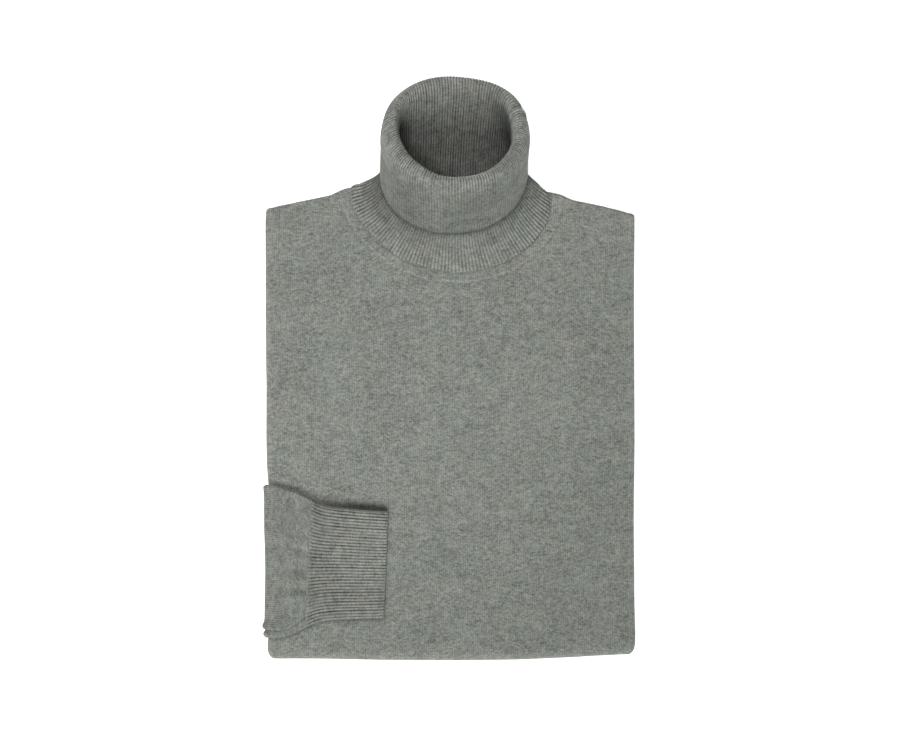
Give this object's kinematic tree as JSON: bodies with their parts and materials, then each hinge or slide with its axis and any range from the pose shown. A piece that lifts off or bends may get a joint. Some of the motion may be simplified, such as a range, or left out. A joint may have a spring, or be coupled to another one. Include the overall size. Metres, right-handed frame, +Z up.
{
  "type": "folded turtleneck sweater",
  "caption": "Fine-knit pullover folded into a flat rectangle, its ribbed rolled collar standing open at one end and a sleeve's ribbed cuff laid across the front.",
  "frame": {"origin": "centre of the folded sweater's bounding box, on the surface that it lies on", "axes": "+X to the right across the front as it is seen from above, +Y from the bottom fold towards the collar, +Z up, away from the surface that it lies on"},
  "size_m": [0.3332, 0.5239, 0.0691],
  "materials": {
    "jersey": "matt fine-gauge plain knit, heathered grey",
    "rib": "matt ribbed knit, heathered grey"
  },
  "bodies": {
    "root": {"front_panel": "jersey", "back_panel": "jersey", "folded_layers": "jersey", "sleeve": "jersey", "sleeve_cuff": "rib", "collar": "rib"}
  },
  "joints": []
}
